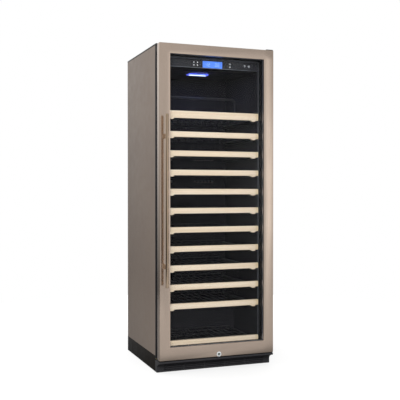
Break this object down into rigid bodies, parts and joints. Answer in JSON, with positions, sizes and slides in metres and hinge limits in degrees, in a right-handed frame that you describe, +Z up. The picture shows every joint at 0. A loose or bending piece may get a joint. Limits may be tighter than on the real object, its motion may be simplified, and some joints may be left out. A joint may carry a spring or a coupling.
{
  "type": "wine cooler",
  "caption": "Tall free-standing wine cooler with a framed glass door, bar handle, sliding beech-fronted shelves, lit control panel and louvred plinth.",
  "frame": {"origin": "on the floor, below the middle of the bounding box, handle and cord gland included", "axes": "+Z up, the door and handle face -Y, +X to the right of someone facing the door"},
  "size_m": [0.595, 0.642, 1.578],
  "materials": {
    "taupe_sheet": "satin",
    "bronze_steel": "satin",
    "black_sheet": "matte",
    "black_wire": "satin",
    "black_plastic": "satin",
    "dark_liner": "satin",
    "black_rubber": "matte",
    "beech": "satin",
    "clear_glass": "gloss",
    "display": "gloss",
    "lamp": "satin",
    "polished_metal": "polished",
    "galvanised_sheet": "satin",
    "coil_metal": "satin",
    "foam": "matte"
  },
  "bodies": {
    "cabinet": {"side_panel_left": "taupe_sheet", "side_panel_right": "taupe_sheet", "top_panel": "black_sheet", "back_panel": "galvanised_sheet", "front_frame": "black_plastic", "inner_liner": "dark_liner", "insulation_foam": "foam", "duct_cover": "dark_liner", "evaporator": "coil_metal", "control_housing": "black_plastic", "display_lens": "display", "lamp_lens": "lamp", "base_pan": "black_sheet", "plinth_grille": "black_plastic", "compressor": "black_sheet", "condenser": "coil_metal", "rear_grille": "black_sheet", "cord_gland": "black_rubber", "foot_front_left": "black_rubber", "foot_front_right": "black_rubber", "foot_rear_left": "black_rubber", "foot_rear_right": "black_rubber", "hinge_bracket_lower": "black_sheet", "hinge_bracket_upper": "black_sheet"},
    "door": {"door_frame": "bronze_steel", "door_inner_frame": "black_plastic", "outer_glass": "clear_glass", "inner_glass": "clear_glass", "door_gasket": "black_rubber", "handle_bar": "bronze_steel", "handle_post_lower": "bronze_steel", "handle_post_upper": "bronze_steel", "lock_housing": "polished_metal"},
    "lock": {"lock_barrel": "polished_metal"},
    "circulation_fan": {"circulation_fan": "black_plastic"},
    "condenser_fan": {"condenser_fan": "black_plastic"},
    "shelf_01": {"shelf_fascia_01": "beech", "shelf_rack_01": "black_wire"},
    "shelf_02": {"shelf_fascia_02": "beech", "shelf_rack_02": "black_wire"},
    "shelf_03": {"shelf_fascia_03": "beech", "shelf_rack_03": "black_wire"},
    "shelf_04": {"shelf_fascia_04": "beech", "shelf_rack_04": "black_wire"},
    "shelf_05": {"shelf_fascia_05": "beech", "shelf_rack_05": "black_wire"},
    "shelf_06": {"shelf_fascia_06": "beech", "shelf_rack_06": "black_wire"},
    "shelf_07": {"shelf_fascia_07": "beech", "shelf_rack_07": "black_wire"},
    "shelf_08": {"shelf_fascia_08": "beech", "shelf_rack_08": "black_wire"},
    "shelf_09": {"shelf_fascia_09": "beech", "shelf_rack_09": "black_wire"},
    "shelf_10": {"shelf_fascia_10": "beech", "shelf_rack_10": "black_wire"},
    "shelf_11": {"shelf_fascia_11": "beech", "shelf_rack_11": "black_wire"},
    "shelf_12": {"shelf_fascia_12": "beech", "shelf_rack_12": "black_wire"}
  },
  "joints": [
    {"name": "door_hinge", "type": "hinge", "parent": "cabinet", "child": "door", "pos_m": [0.287, -0.2435, 0.8], "axis": [0, 0, 1], "range_deg": [0, 120]},
    {"name": "lock_turn", "type": "hinge", "parent": "door", "child": "lock", "pos_m": [0.004, -0.2455, 0.0784], "axis": [0, 1, 0], "range_deg": [0, 90]},
    {"name": "circulation_fan_spin", "type": "hinge", "parent": "cabinet", "child": "circulation_fan", "pos_m": [0, 0.2525, 0.76], "axis": [0, 1, 0], "continuous": true},
    {"name": "condenser_fan_spin", "type": "hinge", "parent": "cabinet", "child": "condenser_fan", "pos_m": [-0.15, 0.1585, 0.128], "axis": [0, 1, 0], "continuous": true},
    {"name": "shelf_01_slide", "type": "slide", "parent": "cabinet", "child": "shelf_01", "axis": [0, -1, 0], "range_m": [0, 0.1365]},
    {"name": "shelf_02_slide", "type": "slide", "parent": "cabinet", "child": "shelf_02", "axis": [0, -1, 0], "range_m": [0, 0.1365]},
    {"name": "shelf_03_slide", "type": "slide", "parent": "cabinet", "child": "shelf_03", "axis": [0, -1, 0], "range_m": [0, 0.1365]},
    {"name": "shelf_04_slide", "type": "slide", "parent": "cabinet", "child": "shelf_04", "axis": [0, -1, 0], "range_m": [0, 0.1365]},
    {"name": "shelf_05_slide", "type": "slide", "parent": "cabinet", "child": "shelf_05", "axis": [0, -1, 0], "range_m": [0, 0.1365]},
    {"name": "shelf_06_slide", "type": "slide", "parent": "cabinet", "child": "shelf_06", "axis": [0, -1, 0], "range_m": [0, 0.1365]},
    {"name": "shelf_07_slide", "type": "slide", "parent": "cabinet", "child": "shelf_07", "axis": [0, -1, 0], "range_m": [0, 0.1365]},
    {"name": "shelf_08_slide", "type": "slide", "parent": "cabinet", "child": "shelf_08", "axis": [0, -1, 0], "range_m": [0, 0.1365]},
    {"name": "shelf_09_slide", "type": "slide", "parent": "cabinet", "child": "shelf_09", "axis": [0, -1, 0], "range_m": [0, 0.1365]},
    {"name": "shelf_10_slide", "type": "slide", "parent": "cabinet", "child": "shelf_10", "axis": [0, -1, 0], "range_m": [0, 0.1365]},
    {"name": "shelf_11_slide", "type": "slide", "parent": "cabinet", "child": "shelf_11", "axis": [0, -1, 0], "range_m": [0, 0.1365]},
    {"name": "shelf_12_slide", "type": "slide", "parent": "cabinet", "child": "shelf_12", "axis": [0, -1, 0], "range_m": [0, 0.1365]}
  ],
  "couplings": [
    {"joint": "shelf_01_slide", "follows": "door_hinge", "m_per_rad": 0.065},
    {"joint": "shelf_02_slide", "follows": "door_hinge", "m_per_rad": 0.065},
    {"joint": "shelf_03_slide", "follows": "door_hinge", "m_per_rad": 0.065},
    {"joint": "shelf_04_slide", "follows": "door_hinge", "m_per_rad": 0.065},
    {"joint": "shelf_05_slide", "follows": "door_hinge", "m_per_rad": 0.065},
    {"joint": "shelf_06_slide", "follows": "door_hinge", "m_per_rad": 0.065},
    {"joint": "shelf_07_slide", "follows": "door_hinge", "m_per_rad": 0.065},
    {"joint": "shelf_08_slide", "follows": "door_hinge", "m_per_rad": 0.065},
    {"joint": "shelf_09_slide", "follows": "door_hinge", "m_per_rad": 0.065},
    {"joint": "shelf_10_slide", "follows": "door_hinge", "m_per_rad": 0.065},
    {"joint": "shelf_11_slide", "follows": "door_hinge", "m_per_rad": 0.065},
    {"joint": "shelf_12_slide", "follows": "door_hinge", "m_per_rad": 0.065}
  ]
}
